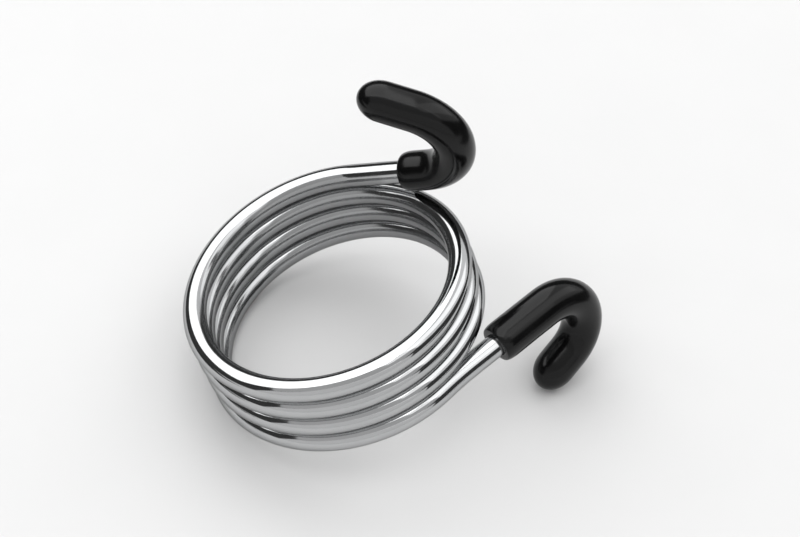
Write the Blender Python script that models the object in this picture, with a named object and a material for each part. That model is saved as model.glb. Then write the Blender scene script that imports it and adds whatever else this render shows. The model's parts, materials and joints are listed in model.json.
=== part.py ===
"""Spring clamp: one coil of round spring wire whose two ends run out into grips.

The wire is wound into a close coil and leaves it along a tangent at the top and
at the bottom. Each end is bent back into a hook that carries a dipped vinyl grip.
The upper hook curls up and the lower one curls down, across the coil's plane.
Turning the upper arm about the coil's axis winds or unwinds the coil.

Shapes are built in the coil's own frame: +Z is the coil's axis and +X points to
the open side, between the two arms. The coil_frame empty then lays the clamp on
the floor as it rests by itself, on the coil's lower rim and the lower grip.
"""

import math

import bmesh
import bpy
from mathutils import Matrix, Vector

MM = 0.001

# The wire and its coil
WIRE_RADIUS = 2.0 * MM
COIL_RADIUS = 23.0 * MM
COIL_PITCH = 4.3 * MM
EXIT_ANGLE = math.radians(60.5)
WINDING = 4 * 2 * math.pi - 2 * EXIT_ANGLE
COIL_HEIGHT = COIL_PITCH * WINDING / (2 * math.pi)
COIL_PIECES = 4

# The two ends: the wire leaves the coil's circle early, this much before the coil's
# end, along a bend of radius exit_bend. Splay turns a leg away from the coil's centre,
# lift turns it away from the coil's middle plane, and plane is how steeply its hook
# stands.
ARMS = {
    "upper": dict(
        side=1,
        early=0.0,
        exit_bend=10.0 * MM,
        splay=math.radians(-12),
        lift=math.radians(9),
        leg=14.9 * MM,
        plane=math.radians(97.5),
        hook_radius=8.6 * MM,
        hook_angle=math.radians(144.6),
        return_leg=5.0 * MM,
        bare_wire=12.9 * MM,
    ),
    "lower": dict(
        side=-1,
        early=math.radians(6),
        exit_bend=60.0 * MM,
        splay=math.radians(11.9),
        lift=math.radians(2.7),
        leg=16.9 * MM,
        plane=math.radians(92),
        hook_radius=7.05 * MM,
        hook_angle=math.radians(160.3),
        return_leg=3.4 * MM,
        bare_wire=12.2 * MM,
    ),
}

# The vinyl grips
GRIP_RADIUS = 3.5 * MM
MOUTH_RADIUS = 3.05 * MM
SHOULDER_LENGTH = 2.0 * MM
TIP_LENGTH = 4.4 * MM
WIRE_PAST_LEG = 1.6 * MM
GAP = 0.3 * MM

# How the clamp lies: the coil's axis leans from the vertical by lean, towards
# lean_heading, after the open side has been turned to open_side.
LEAN = math.radians(19.64)
LEAN_HEADING = math.radians(164.5)
OPEN_SIDE = math.radians(25.8)

# Fineness of the meshes
SIDES = 16
COIL_STEP = math.radians(9)
HOOK_STEP = math.radians(10)
LEG_STEP = 4.0 * MM
TIP_RINGS = 4
SHOULDER_RINGS = 3


def clear_scene():
    for obj in list(bpy.data.objects):
        bpy.data.objects.remove(obj, do_unlink=True)


def make_material(name, colour, roughness, metallic):
    material = bpy.data.materials.new(name)
    material.use_nodes = True
    shader = material.node_tree.nodes["Principled BSDF"]
    shader.inputs["Base Color"].default_value = (*colour, 1.0)
    shader.inputs["Roughness"].default_value = roughness
    shader.inputs["Metallic"].default_value = metallic
    return material


def coil_station(turned):
    """The wire's centre and its way, turned this far down from the top exit."""
    angle = EXIT_ANGLE + turned
    height = COIL_HEIGHT / 2 - COIL_PITCH * turned / (2 * math.pi)
    outward = Vector((math.cos(angle), math.sin(angle), 0))
    onward = Vector((-outward.y, outward.x, -COIL_PITCH / (2 * math.pi * COIL_RADIUS)))
    return outward * COIL_RADIUS + Vector((0, 0, height)), onward.normalized()


def coil_stretch(start, end):
    steps = math.ceil((end - start) / COIL_STEP)
    return [coil_station(start + (end - start) * i / steps) for i in range(steps + 1)]


class Path:
    """A wire's centre line of points, each with its heading, in straight runs and arcs."""

    def __init__(self, start, heading):
        self.stations = [(start, heading.normalized())]

    def straight(self, length):
        start, heading = self.stations[-1]
        steps = max(1, math.ceil(length / LEG_STEP))
        for i in range(1, steps + 1):
            self.stations.append((start + heading * (length * i / steps), heading))

    def arc(self, towards, radius, angle):
        """Turns from the heading towards the given direction, square to it."""
        start, heading = self.stations[-1]
        steps = max(1, math.ceil(angle / HOOK_STEP))
        for i in range(1, steps + 1):
            part = angle * i / steps
            ahead = heading * math.sin(part)
            across = towards * (1 - math.cos(part))
            turned = heading * math.cos(part) + towards * math.sin(part)
            self.stations.append((start + radius * (ahead + across), turned))

    def bend_to(self, heading, radius):
        """Turns from the heading to a new one along an arc of this radius."""
        current = self.stations[-1][1]
        across = heading - current * current.dot(heading)
        self.arc(across.normalized(), radius, current.angle(heading))


def arm_path(arm):
    """The stations from the coil's exit to where the grip's round tip begins."""
    exit_point, inward_way = coil_station(arm["early"])
    outward = Vector((math.cos(EXIT_ANGLE), math.sin(EXIT_ANGLE), 0))
    tangent = Vector((math.sin(EXIT_ANGLE), -math.cos(EXIT_ANGLE), 0))
    up = Vector((0, 0, 1))
    flat_leg = tangent * math.cos(arm["splay"]) + outward * math.sin(arm["splay"])
    sideways = outward * math.cos(arm["splay"]) - tangent * math.sin(arm["splay"])
    leg = flat_leg * math.cos(arm["lift"]) + up * math.sin(arm["lift"])
    square_up = up * math.cos(arm["lift"]) - flat_leg * math.sin(arm["lift"])
    curl = sideways * math.cos(arm["plane"]) + square_up * math.sin(arm["plane"])
    path = Path(exit_point, -inward_way)
    path.bend_to(leg, arm["exit_bend"])
    path.straight(arm["leg"])
    path.arc(curl, arm["hook_radius"], arm["hook_angle"])
    path.straight(arm["return_leg"])
    if arm["side"] > 0:
        return path.stations
    # A half turn about the X axis carries the top end to the bottom one.
    half_turn = Matrix.Rotation(math.pi, 3, "X")
    return [(half_turn @ point, half_turn @ heading) for point, heading in path.stations]


def trimmed(stations, start, clear, extra):
    """The stations from this distance along, none of them nearer than clear to the
    first one, with the last run lengthened by extra."""
    kept = []
    travelled = 0.0
    for (point, heading), (next_point, next_heading) in zip(stations, stations[1:]):
        length = (next_point - point).length
        if not kept and travelled + length > start:
            share = (start - travelled) / length
            between = heading.lerp(next_heading, share).normalized()
            kept.append((point.lerp(next_point, share), between))
        if kept and (next_point - kept[0][0]).length > clear:
            kept.append((next_point, next_heading))
        travelled += length
    point, heading = kept.pop()
    return kept + [(point + heading * extra, heading)]


def frames(stations):
    """Each station's heading and two directions square to it, without a twist."""
    side = stations[0][1].orthogonal().normalized()
    result = []
    previous = stations[0][1]
    for _, heading in stations:
        side = previous.rotation_difference(heading) @ side
        side = (side - heading * side.dot(heading)).normalized()
        result.append((heading, side, heading.cross(side)))
        previous = heading
    return result


def add_ring(mesh, centre, frame, radius):
    _, side, over = frame
    ring = []
    for i in range(SIDES):
        angle = 2 * math.pi * i / SIDES
        ring.append(mesh.verts.new(centre + radius * (side * math.cos(angle) + over * math.sin(angle))))
    return ring


def join_rings(mesh, rings):
    for first, second in zip(rings, rings[1:]):
        for i in range(SIDES):
            j = (i + 1) % SIDES
            mesh.faces.new((first[i], first[j], second[j], second[i]))


def new_node(name, mesh, material, parent):
    data = bpy.data.meshes.new(name)
    bmesh.ops.recalc_face_normals(mesh, faces=mesh.faces)
    mesh.to_mesh(data)
    mesh.free()
    data.shade_smooth()
    data.set_sharp_from_angle(angle=math.radians(40))
    data.materials.append(material)
    obj = bpy.data.objects.new(name, data)
    bpy.context.scene.collection.objects.link(obj)
    obj.parent = parent
    return obj


def make_wire(name, stations, material, parent):
    """A solid round wire with flat ends."""
    mesh = bmesh.new()
    rings = [add_ring(mesh, s[0], f, WIRE_RADIUS) for s, f in zip(stations, frames(stations))]
    join_rings(mesh, rings)
    mesh.faces.new(rings[0])
    mesh.faces.new(rings[-1])
    return new_node(name, mesh, material, parent)


def make_grip(name, stations, material, parent):
    """A vinyl sleeve with a flat mouth, a bore for the wire and an elliptical tip."""
    mesh = bmesh.new()
    directions = frames(stations)
    points = [point for point, _ in stations]
    mouth_way = directions[0][0]
    tip_way = directions[-1][0]
    outer = []
    for i in range(SHOULDER_RINGS + 1):
        angle = math.pi / 2 * i / SHOULDER_RINGS
        centre = points[0] + mouth_way * (SHOULDER_LENGTH * (1 - math.cos(angle)))
        radius = MOUTH_RADIUS + (GRIP_RADIUS - MOUTH_RADIUS) * math.sin(angle)
        outer.append(add_ring(mesh, centre, directions[0], radius))
    outer += [add_ring(mesh, p, f, GRIP_RADIUS) for p, f in zip(points[1:], directions[1:])]
    for i in range(1, TIP_RINGS):
        angle = math.pi / 2 * i / TIP_RINGS
        centre = points[-1] + tip_way * (TIP_LENGTH * math.sin(angle))
        outer.append(add_ring(mesh, centre, directions[-1], GRIP_RADIUS * math.cos(angle)))
    join_rings(mesh, outer)
    pole = mesh.verts.new(points[-1] + tip_way * TIP_LENGTH)
    for i in range(SIDES):
        mesh.faces.new((outer[-1][i], outer[-1][(i + 1) % SIDES], pole))
    bore = [add_ring(mesh, p, f, WIRE_RADIUS + GAP) for p, f in zip(points, directions)]
    bore_end = points[-1] + tip_way * (WIRE_PAST_LEG + GAP)
    bore.append(add_ring(mesh, bore_end, directions[-1], WIRE_RADIUS + GAP))
    join_rings(mesh, bore)
    mesh.faces.new(bore[-1])
    join_rings(mesh, [outer[0], bore[0]])
    return new_node(name, mesh, material, parent)


def add_empty(name, parent):
    empty = bpy.data.objects.new(name, None)
    bpy.context.scene.collection.objects.link(empty)
    empty.parent = parent
    return empty


def lay_down(coil_frame, nodes):
    """Leans the clamp as it rests, with the middle of its footprint at the origin."""
    turn = Matrix.Rotation(LEAN_HEADING, 4, "Z") @ Matrix.Rotation(LEAN, 4, "Y")
    turn = turn @ Matrix.Rotation(OPEN_SIDE - LEAN_HEADING, 4, "Z")
    corners = [turn @ vertex.co for node in nodes for vertex in node.data.vertices]
    low = Vector(min(c[axis] for c in corners) for axis in range(3))
    high = Vector(max(c[axis] for c in corners) for axis in range(3))
    middle = (low + high) / 2
    coil_frame.matrix_world = Matrix.Translation((-middle.x, -middle.y, -low.z)) @ turn


def main():
    clear_scene()
    steel = make_material("spring_steel", (0.64, 0.645, 0.65), 0.08, 1.0)
    vinyl = make_material("black_vinyl", (0.012, 0.012, 0.013), 0.22, 0.0)
    coil_frame = add_empty("coil_frame", None)
    bodies = {name: add_empty(name + "_arm", coil_frame) for name in ARMS}
    nodes = []
    cut = GAP / 2 / COIL_RADIUS
    top = ARMS["upper"]["early"]
    bottom = WINDING - ARMS["lower"]["early"]
    stretch = (bottom - top) / COIL_PIECES
    for index in range(COIL_PIECES):
        body = bodies["lower"] if index < COIL_PIECES // 2 else bodies["upper"]
        end = bottom - stretch * index
        start = end - stretch
        turn = coil_stretch(start + cut, end - cut)
        nodes.append(make_wire(f"coil_turn_{index + 1}", turn, steel, body))
    for name, arm in ARMS.items():
        path = arm_path(arm)
        wire = trimmed(path, GAP / 2, GAP, WIRE_PAST_LEG)
        nodes.append(make_wire(f"{name}_arm_wire", wire, steel, bodies[name]))
        sleeve = trimmed(path, arm["bare_wire"], SHOULDER_LENGTH + GAP, 0.0)
        nodes.append(make_grip(f"{name}_grip", sleeve, vinyl, bodies[name]))
    lay_down(coil_frame, nodes)


main()
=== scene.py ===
import json
import math

import bmesh
import bpy
from mathutils import Matrix, Quaternion, Vector, noise


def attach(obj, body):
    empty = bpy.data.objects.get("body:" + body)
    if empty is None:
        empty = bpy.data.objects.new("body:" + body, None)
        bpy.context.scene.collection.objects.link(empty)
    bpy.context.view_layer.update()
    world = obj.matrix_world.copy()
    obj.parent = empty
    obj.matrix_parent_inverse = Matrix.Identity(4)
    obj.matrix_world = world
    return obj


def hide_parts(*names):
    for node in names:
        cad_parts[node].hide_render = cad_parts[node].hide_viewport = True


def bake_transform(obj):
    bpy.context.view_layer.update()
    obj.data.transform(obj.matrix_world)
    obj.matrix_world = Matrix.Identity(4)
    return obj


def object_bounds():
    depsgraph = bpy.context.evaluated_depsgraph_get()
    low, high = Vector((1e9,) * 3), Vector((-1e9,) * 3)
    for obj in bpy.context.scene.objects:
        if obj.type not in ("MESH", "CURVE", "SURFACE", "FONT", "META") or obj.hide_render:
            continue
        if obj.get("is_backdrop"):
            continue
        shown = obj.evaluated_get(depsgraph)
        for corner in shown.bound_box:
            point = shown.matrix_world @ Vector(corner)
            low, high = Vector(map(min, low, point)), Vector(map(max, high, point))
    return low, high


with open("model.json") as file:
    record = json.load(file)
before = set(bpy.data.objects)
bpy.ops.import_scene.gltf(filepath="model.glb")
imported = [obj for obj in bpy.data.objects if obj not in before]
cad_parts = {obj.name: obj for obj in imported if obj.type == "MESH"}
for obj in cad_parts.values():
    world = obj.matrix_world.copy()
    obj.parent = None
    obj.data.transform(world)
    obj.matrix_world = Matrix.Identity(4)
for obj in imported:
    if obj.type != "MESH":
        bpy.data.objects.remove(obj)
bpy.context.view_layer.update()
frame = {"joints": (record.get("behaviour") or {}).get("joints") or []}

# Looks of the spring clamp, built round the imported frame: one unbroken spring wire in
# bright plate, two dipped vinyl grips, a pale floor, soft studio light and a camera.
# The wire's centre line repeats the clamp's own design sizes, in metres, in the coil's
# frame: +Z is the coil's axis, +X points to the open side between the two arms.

MM = 0.001

# The wire and its coil
WIRE_RADIUS = 2.0 * MM
COIL_RADIUS = 23.0 * MM
COIL_PITCH = 4.3 * MM
EXIT_ANGLE = math.radians(60.5)
WINDING = 4 * 2 * math.pi - 2 * EXIT_ANGLE
COIL_HEIGHT = COIL_PITCH * WINDING / (2 * math.pi)

# The two ends: the wire leaves the coil's circle early, this much before the coil's
# end, along a bend of radius exit_bend. Splay turns a leg away from the coil's centre,
# lift turns it away from the coil's middle plane, and plane is how steeply its hook
# stands.
ARMS = {
    "upper": dict(
        side=1,
        early=0.0,
        exit_bend=10.0 * MM,
        splay=math.radians(-12),
        lift=math.radians(9),
        leg=14.9 * MM,
        plane=math.radians(97.5),
        hook_radius=8.6 * MM,
        hook_angle=math.radians(144.6),
        return_leg=5.0 * MM,
        bare_wire=12.9 * MM,
    ),
    "lower": dict(
        side=-1,
        early=math.radians(6),
        exit_bend=60.0 * MM,
        splay=math.radians(11.9),
        lift=math.radians(2.7),
        leg=16.9 * MM,
        plane=math.radians(92),
        hook_radius=7.05 * MM,
        hook_angle=math.radians(160.3),
        return_leg=3.4 * MM,
        bare_wire=12.2 * MM,
    ),
}

# The vinyl grips
GRIP_RADIUS = 3.5 * MM
MOUTH_RADIUS = 3.05 * MM
SHOULDER_LENGTH = 2.0 * MM
TIP_LENGTH = 4.4 * MM
LIP_ROUNDING = 0.12 * MM
WIRE_PAST_LEG = 1.6 * MM
WIRE_END_CHAMFER = 0.3 * MM
BORE_CLEARANCE = 0.03 * MM
DIP_UNEVENNESS = 0.035 * MM
DIP_WAVE = 5.0 * MM

# How the coil lies in the frame: its centre is the joint's own place
LEAN = math.radians(19.64)
LEAN_HEADING = math.radians(164.5)
OPEN_SIDE = math.radians(25.8)

# Fineness of the meshes
WIRE_SIDES = 40
GRIP_SIDES = 56
COIL_STEP = math.radians(2)
HOOK_STEP = math.radians(2.5)
LEG_STEP = 0.5 * MM
TIP_RINGS = 12
SHOULDER_RINGS = 10
LIP_RINGS = 4
STATION_SLACK = LEG_STEP / 4
WIRE_SHARP_ANGLE = math.radians(30)
GRIP_SHARP_ANGLE = math.radians(50)
SEED_STEP = 10.0

# The camera, aimed at a point near the middle of the clamp
CAMERA_ELEVATION = math.radians(52.53)
CAMERA_ROLL = math.radians(4.01)
CAMERA_DISTANCE = 0.3571
CAMERA_AIM = Vector((0.0004, 0.0088, 0.0154))
CAMERA_LENS = 93.3
SENSOR_WIDTH = 36.0
CLIP_START = 0.01
CLIP_END = 20.0

# Bright plate. The tones and roughnesses are the ends of what it varies between, and the
# painted shade inside the coil falls on what faces its axis at least this squarely, from a little to
# fully.
PLATE_TONES = ((0.44, 0.445, 0.45), (0.50, 0.505, 0.51))
PLATE_ROUGHNESS = (0.06, 0.11)
PLATE_EDGE_TINT = (0.5, 0.5, 0.5, 1.0)
PAINTED_SHADE_FACING = (0.3, 0.9)
# Painted shade: the tone the wire is darkened by on its side that faces the coil's axis, and how much
# duller that side is
PAINTED_SHADE_TONE = (0.72, 0.72, 0.72)
INNER_SIDE_DULLNESS = (0.0, 0.1)
DIE_LINE_DEPTH = 0.002 * MM
DIE_LINE_STRENGTH = 0.35
WAVE_DEPTH = 0.03 * MM
WAVE_STRENGTH = 0.25

# Dipped vinyl
VINYL_TONES = ((0.002, 0.002, 0.0021), (0.004, 0.004, 0.0041))
VINYL_ROUGHNESS = (0.13, 0.22)
VINYL_IOR = 1.5
VINYL_SPECULAR = 0.24
PEEL_DEPTH = 0.01 * MM
RIPPLE_DEPTH = 0.08 * MM
VINYL_BUMP_STRENGTH = 0.3

# The floor's tone, and the middle of a noise's range, which nearly all of it is in
FLOOR_TONES = ((0.64, 0.64, 0.64), (0.66, 0.66, 0.66))
NOISE_MIDDLE = (0.3, 0.7)

# Studio
LIGHTS = {
    "overhead_softbox": dict(
        place=(-1.41, 1.395, 1.5),
        aim=(-1.41, 1.395, 0.0),
        width=3.36,
        depth=3.53,
        roll=math.radians(-3.3),
        radiance=2.4,
    ),
    "right_card": dict(
        place=(1.006, 0.592, 1.236),
        aim=(0.0, 0.0, 0.0),
        width=2.69,
        depth=2.06,
        roll=math.radians(-46.2),
        radiance=1.0,
    ),
    "right_strip": dict(
        place=(0.872, 0.266, 1.316),
        aim=(0.0, 0.0, 0.0),
        width=2.72,
        depth=0.8,
        roll=math.radians(-51.4),
        radiance=0.95,
    ),
    "front_card": dict(
        place=(0.0, -2.4, 0.86),
        aim=(0.0, 0.0, 0.86),
        width=7.0,
        depth=1.73,
        roll=0.0,
        radiance=0.78,
    ),
    "high_front_card": dict(
        place=(-0.116, -1.292, 2.02),
        aim=(0.0, 0.0, 0.0),
        width=5.08,
        depth=2.0,
        roll=0.0,
        radiance=0.56,
    ),
}
PALE_TONE = 0.97
DARK_TONE = 0.06

# The pale floor: a strip of it runs under the clamp and on behind it, with the dark
# studio on both sides, and in front of the clamp it spreads out wide
FLOOR_BACK = 0.25
FLOOR_LEFT = -0.11
FLOOR_RIGHT = 0.12
FLOOR_SHOULDER = -0.07
FLOOR_FRONT = -2.4
FLOOR_FRONT_HALF_WIDTH = 3.5
FLOOR_DROP = 0.02 * MM


def coil_station(turned):
    """The wire's centre and its way, turned this far down from the top exit."""
    angle = EXIT_ANGLE + turned
    height = COIL_HEIGHT / 2 - COIL_PITCH * turned / (2 * math.pi)
    outward = Vector((math.cos(angle), math.sin(angle), 0))
    onward = Vector((-outward.y, outward.x, -COIL_PITCH / (2 * math.pi * COIL_RADIUS)))
    return outward * COIL_RADIUS + Vector((0, 0, height)), onward.normalized()


class Path:
    """A wire's centre line of points, each with its heading, in straight runs and arcs."""

    def __init__(self, start, heading):
        self.stations = [(start, heading.normalized())]

    def straight(self, length):
        start, heading = self.stations[-1]
        steps = max(1, math.ceil(length / LEG_STEP))
        for i in range(1, steps + 1):
            self.stations.append((start + heading * (length * i / steps), heading))

    def arc(self, towards, radius, angle):
        """Turns from the heading towards the given direction, square to it."""
        start, heading = self.stations[-1]
        steps = max(1, math.ceil(angle / HOOK_STEP))
        for i in range(1, steps + 1):
            part = angle * i / steps
            ahead = heading * math.sin(part)
            across = towards * (1 - math.cos(part))
            turned = heading * math.cos(part) + towards * math.sin(part)
            self.stations.append((start + radius * (ahead + across), turned))

    def bend_to(self, heading, radius):
        """Turns from the heading to a new one along an arc of this radius."""
        current = self.stations[-1][1]
        across = heading - current * current.dot(heading)
        self.arc(across.normalized(), radius, current.angle(heading))


def arm_path(arm):
    """The stations from the coil's exit to where the grip's round tip begins."""
    exit_point, inward_way = coil_station(arm["early"])
    outward = Vector((math.cos(EXIT_ANGLE), math.sin(EXIT_ANGLE), 0))
    tangent = Vector((math.sin(EXIT_ANGLE), -math.cos(EXIT_ANGLE), 0))
    up = Vector((0, 0, 1))
    flat_leg = tangent * math.cos(arm["splay"]) + outward * math.sin(arm["splay"])
    sideways = outward * math.cos(arm["splay"]) - tangent * math.sin(arm["splay"])
    leg = flat_leg * math.cos(arm["lift"]) + up * math.sin(arm["lift"])
    square_up = up * math.cos(arm["lift"]) - flat_leg * math.sin(arm["lift"])
    curl = sideways * math.cos(arm["plane"]) + square_up * math.sin(arm["plane"])
    path = Path(exit_point, -inward_way)
    path.bend_to(leg, arm["exit_bend"])
    path.straight(arm["leg"])
    path.arc(curl, arm["hook_radius"], arm["hook_angle"])
    path.straight(arm["return_leg"])
    if arm["side"] > 0:
        return path.stations
    # A half turn about the X axis carries the top end to the bottom one.
    half_turn = Matrix.Rotation(math.pi, 3, "X")
    return [(half_turn @ point, half_turn @ heading) for point, heading in path.stations]


def placed(stations):
    """The stations carried from the coil's frame to where the clamp lies."""
    turn = Matrix.Rotation(LEAN_HEADING, 3, "Z") @ Matrix.Rotation(LEAN, 3, "Y")
    turn = turn @ Matrix.Rotation(OPEN_SIDE - LEAN_HEADING, 3, "Z")
    centre = Vector(frame["joints"][0]["pos_m"])
    return [(turn @ point + centre, turn @ heading) for point, heading in stations]


def wire_stations():
    """The whole wire's centre line, from inside the upper grip to inside the lower one."""
    upper = arm_path(ARMS["upper"])
    lower = arm_path(ARMS["lower"])
    top = ARMS["upper"]["early"]
    winding = WINDING - top - ARMS["lower"]["early"]
    steps = math.ceil(winding / COIL_STEP)
    coil = [coil_station(top + winding * i / steps) for i in range(1, steps)]
    inwards = [(point, -heading) for point, heading in reversed(upper)]
    whole = inwards + coil + lower
    first_point, first_way = whole[0]
    last_point, last_way = whole[-1]
    whole[0] = (first_point - first_way * WIRE_PAST_LEG, first_way)
    whole[-1] = (last_point + last_way * WIRE_PAST_LEG, last_way)
    return placed(whole)


def frames(stations):
    """Each station's heading and two directions square to it, without a twist."""
    side = stations[0][1].orthogonal().normalized()
    result = []
    previous = stations[0][1]
    for _, heading in stations:
        side = previous.rotation_difference(heading) @ side
        side = (side - heading * side.dot(heading)).normalized()
        result.append((heading, side, heading.cross(side)))
        previous = heading
    return result


def along(stations):
    """The distance along the centre line at each station."""
    distances = [0.0]
    for (point, _), (next_point, _) in zip(stations, stations[1:]):
        distances.append(distances[-1] + (next_point - point).length)
    return distances


def towards_axis(point, way):
    """The direction from a point of the coil to the coil's axis, fading to nothing where
    the wire leaves the coil's circle for an arm."""
    (centre, axis), = placed([(Vector(), Vector((0, 0, 1)))])
    spoke = centre - point
    spoke -= axis * spoke.dot(axis)
    strayed = abs(spoke.length - COIL_RADIUS) + WIRE_RADIUS * abs(way.dot(spoke.normalized()))
    return spoke.normalized() * max(0.0, 1 - strayed / (WIRE_RADIUS / 2))


class Tube:
    """A mesh of rings, which keeps for each vertex where it lies on the tube as if it
    were drawn straight, x and y across it and z along it, and how squarely it faces the
    coil's axis, which sets the painted shade inside the coil."""

    def __init__(self, sides):
        self.sides = sides
        self.mesh = bmesh.new()
        self.straightened = []
        self.inner_shade_amounts = []
        self.rings = []

    def ring(self, centre, directions, radius, distance, uneven=None, inwards=Vector()):
        """Adds a ring; uneven(angle) is what its radius grows by there, and inwards
        points to the coil's axis where the ring is part of the coil."""
        _, side, over = directions
        ring = []
        for i in range(self.sides):
            angle = 2 * math.pi * i / self.sides
            here = radius + (uneven(angle) if uneven else 0.0)
            offset = side * (here * math.cos(angle)) + over * (here * math.sin(angle))
            ring.append(self.mesh.verts.new(centre + offset))
            # Painted shade: the more squarely a vertex faces the coil's axis, the darker the wire is
            # painted there
            self.inner_shade_amounts.append(max(0.0, offset.normalized().dot(inwards)))
            self.straightened.append((here * math.cos(angle), here * math.sin(angle), distance))
        self.rings.append(ring)

    def pole(self, point, distance):
        self.straightened.append((0.0, 0.0, distance))
        self.inner_shade_amounts.append(0.0)
        return self.mesh.verts.new(point)

    def fan(self, ring, pole):
        for i in range(self.sides):
            self.mesh.faces.new((ring[i], ring[(i + 1) % self.sides], pole))

    def skin(self):
        for first, second in zip(self.rings, self.rings[1:]):
            for i in range(self.sides):
                j = (i + 1) % self.sides
                self.mesh.faces.new((first[i], first[j], second[j], second[i]))

    def finished(self, name, material, sharp_angle):
        bmesh.ops.recalc_face_normals(self.mesh, faces=self.mesh.faces)
        data = bpy.data.meshes.new(name)
        self.mesh.to_mesh(data)
        self.mesh.free()
        data.shade_smooth()
        data.set_sharp_from_angle(angle=sharp_angle)
        attribute = data.attributes.new("drawn_straight", "FLOAT_VECTOR", "POINT")
        attribute.data.foreach_set("vector", [c for place in self.straightened for c in place])
        # How squarely each vertex faces the coil's axis: the mask of the painted shade inside the coil
        painted_shade_layer = data.attributes.new("inside_coil_painted_shade", "FLOAT", "POINT")
        painted_shade_layer.data.foreach_set("value", self.inner_shade_amounts)
        data.materials.append(material)
        piece = bpy.data.objects.new(name, data)
        bpy.context.scene.collection.objects.link(piece)
        return piece


def make_wire(material):
    """The one spring wire, with chamfered ends that the grips hide."""
    stations = wire_stations()
    directions = frames(stations)
    distances = along(stations)
    tube = Tube(WIRE_SIDES)
    start, start_way = stations[0]
    end, end_way = stations[-1]
    tube.ring(start, directions[0], WIRE_RADIUS - WIRE_END_CHAMFER, distances[0])
    tube.ring(start + start_way * WIRE_END_CHAMFER, directions[0], WIRE_RADIUS, WIRE_END_CHAMFER)
    for (point, way), frame_here, distance in list(zip(stations, directions, distances))[1:-1]:
        inwards = towards_axis(point, way)
        tube.ring(point, frame_here, WIRE_RADIUS, distance, inwards=inwards)
    tube.ring(end - end_way * WIRE_END_CHAMFER, directions[-1], WIRE_RADIUS, distances[-1])
    tube.ring(end, directions[-1], WIRE_RADIUS - WIRE_END_CHAMFER, distances[-1])
    tube.skin()
    tube.fan(tube.rings[0], tube.pole(start, distances[0]))
    tube.fan(tube.rings[-1], tube.pole(end, distances[-1]))
    return tube.finished("spring_wire", material, WIRE_SHARP_ANGLE)


def beyond(stations, start):
    """The stations from this distance along, the first one exactly there."""
    distances = along(stations)
    kept = []
    for i in range(len(stations) - 1):
        if distances[i + 1] <= start + STATION_SLACK:
            continue
        if not kept:
            share = (start - distances[i]) / (distances[i + 1] - distances[i])
            point = stations[i][0].lerp(stations[i + 1][0], share)
            heading = stations[i][1].lerp(stations[i + 1][1], share).normalized()
            kept.append((point, heading))
        kept.append(stations[i + 1])
    return kept


def make_grip(name, arm, material, seed):
    """A dipped vinyl sleeve: a rounded lip and shoulder at the mouth, a slightly uneven
    body and an elliptical tip, with a bore for the wire."""
    stations = placed(beyond(arm_path(arm), arm["bare_wire"]))
    directions = frames(stations)
    distances = along(stations)
    length = distances[-1] + TIP_LENGTH
    bore_radius = WIRE_RADIUS + BORE_CLEARANCE
    mouth, mouth_way = stations[0]
    tube = Tube(GRIP_SIDES)

    def uneven(distance):
        """Where the dip ran a little thick or thin, fading out towards both ends."""
        fade = min(1.0, distance / DIP_WAVE) * min(1.0, (length - distance) / DIP_WAVE)

        def grown(angle):
            across = Vector((math.cos(angle), math.sin(angle), 0)) * GRIP_RADIUS
            place = (across + Vector((0, 0, distance))) / DIP_WAVE + Vector((seed, 0, 0))
            return DIP_UNEVENNESS * fade * noise.noise(place)

        return grown

    # The bore, from its blind end to the mouth
    tip, tip_way = stations[-1]
    bore_end = tip + tip_way * (WIRE_PAST_LEG + BORE_CLEARANCE)
    tube.ring(bore_end, directions[-1], bore_radius, distances[-1])
    for (point, _), frame_here, distance in reversed(list(zip(stations, directions, distances))[1:]):
        tube.ring(point, frame_here, bore_radius, distance)
    # The lip rolls from the bore onto the flat mouth
    for i in range(LIP_RINGS + 1):
        angle = math.pi / 2 * i / LIP_RINGS
        centre = mouth + mouth_way * (LIP_ROUNDING * (1 - math.sin(angle)))
        tube.ring(centre, directions[0], bore_radius + LIP_ROUNDING * (1 - math.cos(angle)), 0.0)
    # The shoulder, a quarter of an ellipse
    for i in range(SHOULDER_RINGS + 1):
        angle = math.pi / 2 * i / SHOULDER_RINGS
        distance = SHOULDER_LENGTH * (1 - math.cos(angle))
        radius = MOUTH_RADIUS + (GRIP_RADIUS - MOUTH_RADIUS) * math.sin(angle)
        tube.ring(mouth + mouth_way * distance, directions[0], radius, distance, uneven(distance))
    for (point, _), frame_here, distance in zip(stations, directions, distances):
        if distance > SHOULDER_LENGTH + STATION_SLACK:
            tube.ring(point, frame_here, GRIP_RADIUS, distance, uneven(distance))
    for i in range(1, TIP_RINGS):
        angle = math.pi / 2 * i / TIP_RINGS
        ahead = TIP_LENGTH * math.sin(angle)
        radius = GRIP_RADIUS * math.cos(angle)
        tube.ring(tip + tip_way * ahead, directions[-1], radius, distances[-1] + ahead)
    tube.skin()
    tube.fan(tube.rings[0], tube.pole(bore_end, distances[-1]))
    tube.fan(tube.rings[-1], tube.pole(tip + tip_way * TIP_LENGTH, length))
    return tube.finished(name, material, GRIP_SHARP_ANGLE)


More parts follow.
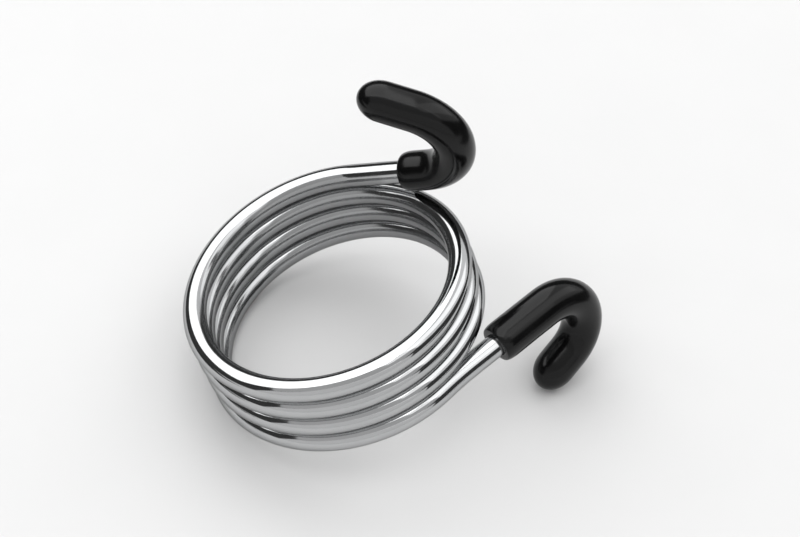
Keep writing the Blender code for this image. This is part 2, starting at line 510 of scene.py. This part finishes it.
class Nodes:
    """A short way to write a material's nodes."""

    def __init__(self, name):
        self.material = bpy.data.materials.new(name)
        self.material.use_nodes = True
        self.tree = self.material.node_tree
        self.shader = self.tree.nodes["Principled BSDF"]

    def add(self, kind, values=(), **settings):
        node = self.tree.nodes.new(kind)
        for key, value in settings.items():
            setattr(node, key, value)
        for key, value in dict(values).items():
            node.inputs[key].default_value = value
        return node

    def link(self, output, socket):
        self.tree.links.new(output, socket)

    def attribute(self, name, output):
        return self.add("ShaderNodeAttribute", attribute_name=name).outputs[output]

    def place(self):
        """Where a point lies on the wire or grip as if it were drawn straight."""
        return self.attribute("drawn_straight", "Vector")

    def stretched(self, vector, scale):
        node = self.add("ShaderNodeVectorMath", operation="MULTIPLY")
        self.link(vector, node.inputs[0])
        node.inputs[1].default_value = scale
        return node.outputs["Vector"]

    def noise(self, vector, scale, detail=2.0, roughness=0.5):
        node = self.add("ShaderNodeTexNoise", {"Scale": scale, "Detail": detail, "Roughness": roughness})
        self.link(vector, node.inputs["Vector"])
        return node.outputs["Fac"]

    def remap(self, value, before, after):
        node = self.add("ShaderNodeMapRange")
        self.link(value, node.inputs["Value"])
        node.inputs["From Min"].default_value = before[0]
        node.inputs["From Max"].default_value = before[1]
        node.inputs["To Min"].default_value = after[0]
        node.inputs["To Max"].default_value = after[1]
        return node.outputs["Result"]

    def mix_colour(self, factor, tones):
        node = self.add("ShaderNodeMix", data_type="RGBA")
        self.link(factor, node.inputs["Factor"])
        node.inputs["A"].default_value = (*tones[0], 1.0)
        node.inputs["B"].default_value = (*tones[1], 1.0)
        return node.outputs["Result"]

    def darken(self, factor, colour, by):
        node = self.add("ShaderNodeMix", data_type="RGBA", blend_type="MULTIPLY")
        self.link(factor, node.inputs["Factor"])
        self.link(colour, node.inputs["A"])
        node.inputs["B"].default_value = (*by, 1.0)
        return node.outputs["Result"]

    def sum(self, first, second):
        node = self.add("ShaderNodeMath", operation="ADD")
        self.link(first, node.inputs[0])
        self.link(second, node.inputs[1])
        return node.outputs["Value"]

    def bump(self, height, distance, strength, below=None):
        node = self.add("ShaderNodeBump", {"Distance": distance, "Strength": strength})
        self.link(height, node.inputs["Height"])
        if below:
            self.link(below, node.inputs["Normal"])
        return node.outputs["Normal"]


def plated_steel():
    """Bright plate over drawn wire: faint die lines along it, slightly cloudy, with painted
    shade darkening it and more roughness where it faces the coil's axis inside the coil."""
    nodes = Nodes("spring_steel")
    place = nodes.place()
    die_lines = nodes.noise(nodes.stretched(place, (1.0, 1.0, 0.02)), scale=5000.0, detail=3.0)
    clouds = nodes.noise(nodes.stretched(place, (1.0, 1.0, 0.35)), scale=900.0, detail=3.0)
    waves = nodes.noise(nodes.stretched(place, (1.0, 1.0, 0.3)), scale=350.0, detail=2.0)
    bright = nodes.mix_colour(clouds, PLATE_TONES)
    facing = nodes.attribute("inside_coil_painted_shade", "Fac")
    # Painted shade: the side of the wire that faces the coil's axis is darkened and made duller
    painted_shade = nodes.remap(facing, PAINTED_SHADE_FACING, (0.0, 1.0))
    tone = nodes.darken(painted_shade, bright, PAINTED_SHADE_TONE)
    nodes.link(tone, nodes.shader.inputs["Base Color"])
    sheen = nodes.remap(clouds, NOISE_MIDDLE, PLATE_ROUGHNESS)
    dullness = nodes.remap(painted_shade, (0.0, 1.0), INNER_SIDE_DULLNESS)
    nodes.link(nodes.sum(sheen, dullness), nodes.shader.inputs["Roughness"])
    lines_normal = nodes.bump(die_lines, DIE_LINE_DEPTH, DIE_LINE_STRENGTH)
    normal = nodes.bump(waves, WAVE_DEPTH, WAVE_STRENGTH, lines_normal)
    nodes.link(normal, nodes.shader.inputs["Normal"])
    nodes.shader.inputs["Metallic"].default_value = 1.0
    nodes.shader.inputs["Specular Tint"].default_value = PLATE_EDGE_TINT
    return nodes.material


def dipped_vinyl():
    """Glossy black vinyl with a soft orange peel."""
    nodes = Nodes("black_vinyl")
    place = nodes.place()
    peel = nodes.noise(place, scale=900.0, detail=2.0)
    ripples = nodes.noise(nodes.stretched(place, (1.0, 1.0, 0.5)), scale=300.0, detail=1.0)
    streaks = nodes.stretched(place, (1.0, 1.0, 0.4))
    smears = nodes.noise(streaks, scale=500.0, detail=4.0, roughness=0.6)
    nodes.link(nodes.mix_colour(smears, VINYL_TONES), nodes.shader.inputs["Base Color"])
    gloss = nodes.remap(smears, NOISE_MIDDLE, VINYL_ROUGHNESS)
    nodes.link(gloss, nodes.shader.inputs["Roughness"])
    peel_normal = nodes.bump(peel, PEEL_DEPTH, VINYL_BUMP_STRENGTH)
    normal = nodes.bump(ripples, RIPPLE_DEPTH, VINYL_BUMP_STRENGTH, peel_normal)
    nodes.link(normal, nodes.shader.inputs["Normal"])
    nodes.shader.inputs["IOR"].default_value = VINYL_IOR
    nodes.shader.inputs["Specular IOR Level"].default_value = VINYL_SPECULAR
    return nodes.material


def pale_paper():
    """The pale floor, with the faintest mottling."""
    nodes = Nodes("pale_paper")
    coordinates = nodes.add("ShaderNodeTexCoord").outputs["Object"]
    mottle = nodes.noise(coordinates, scale=60.0, detail=3.0)
    nodes.link(nodes.mix_colour(mottle, FLOOR_TONES), nodes.shader.inputs["Base Color"])
    nodes.shader.inputs["Roughness"].default_value = 1.0
    nodes.shader.inputs["Specular IOR Level"].default_value = 0.0
    return nodes.material


def make_floor(height):
    outline = [
        (FLOOR_RIGHT, FLOOR_BACK),
        (FLOOR_LEFT, FLOOR_BACK),
        (FLOOR_LEFT, FLOOR_SHOULDER),
        (-FLOOR_FRONT_HALF_WIDTH, FLOOR_SHOULDER),
        (-FLOOR_FRONT_HALF_WIDTH, FLOOR_FRONT),
        (FLOOR_FRONT_HALF_WIDTH, FLOOR_FRONT),
        (FLOOR_FRONT_HALF_WIDTH, FLOOR_SHOULDER),
        (FLOOR_RIGHT, FLOOR_SHOULDER),
    ]
    mesh = bmesh.new()
    mesh.faces.new([mesh.verts.new((x, y, 0)) for x, y in outline])
    data = bpy.data.meshes.new("floor")
    mesh.to_mesh(data)
    mesh.free()
    data.materials.append(pale_paper())
    floor = bpy.data.objects.new("floor", data)
    floor.location.z = height
    bpy.context.scene.collection.objects.link(floor)
    floor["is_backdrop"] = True


def make_area_light(name, place, aim, width, depth, roll, radiance):
    """A soft rectangle of light, turned by roll about the line to what it is aimed at."""
    light = bpy.data.lights.new(name, "AREA")
    light.shape = "RECTANGLE"
    light.size = width
    light.size_y = depth
    light.energy = radiance * math.pi * width * depth
    lamp = bpy.data.objects.new(name, light)
    lamp.location = place
    lamp.rotation_mode = "QUATERNION"
    level = (Vector(aim) - Vector(place)).to_track_quat("-Z", "Y")
    lamp.rotation_quaternion = level @ Quaternion((0, 0, 1), roll)
    lamp.visible_camera = False
    bpy.context.scene.collection.objects.link(lamp)
    return lamp


def make_world():
    """Dark surroundings for reflections, and the floor's own pale tone behind it all."""
    world = bpy.data.worlds.new("studio")
    world.use_nodes = True
    bpy.context.scene.world = world
    tree = world.node_tree
    background = tree.nodes["Background"]
    path = tree.nodes.new("ShaderNodeLightPath")
    mix = tree.nodes.new("ShaderNodeMix")
    mix.data_type = "RGBA"
    mix.inputs["A"].default_value = (DARK_TONE, DARK_TONE, DARK_TONE, 1.0)
    mix.inputs["B"].default_value = (PALE_TONE, PALE_TONE, PALE_TONE, 1.0)
    tree.links.new(path.outputs["Is Camera Ray"], mix.inputs["Factor"])
    tree.links.new(mix.outputs["Result"], background.inputs["Color"])


def make_camera():
    data = bpy.data.cameras.new("camera")
    data.lens = CAMERA_LENS
    data.sensor_width = SENSOR_WIDTH
    data.clip_start = CLIP_START
    data.clip_end = CLIP_END
    camera = bpy.data.objects.new("camera", data)
    back = Vector((0, -math.cos(CAMERA_ELEVATION), math.sin(CAMERA_ELEVATION)))
    camera.location = CAMERA_AIM + back * CAMERA_DISTANCE
    camera.rotation_mode = "QUATERNION"
    level = (-back).to_track_quat("-Z", "Y")
    camera.rotation_quaternion = level @ Quaternion((0, 0, 1), CAMERA_ROLL)
    bpy.context.scene.collection.objects.link(camera)
    bpy.context.scene.camera = camera


def main():
    steel = plated_steel()
    vinyl = dipped_vinyl()
    wire = make_wire(steel)
    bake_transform(wire)
    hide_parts("coil_turn_1", "coil_turn_2", "coil_turn_3", "coil_turn_4")
    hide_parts("lower_arm_wire", "upper_arm_wire")
    for seed, (name, arm) in enumerate(ARMS.items()):
        grip = make_grip(f"{name}_vinyl_grip", arm, vinyl, seed * SEED_STEP)
        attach(grip, f"{name}_arm")
        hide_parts(f"{name}_grip")
    make_floor(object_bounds()[0].z - FLOOR_DROP)
    for name, settings in LIGHTS.items():
        make_area_light(name, **settings)
    make_world()
    make_camera()
    bpy.context.scene.view_settings.view_transform = "Standard"


main()
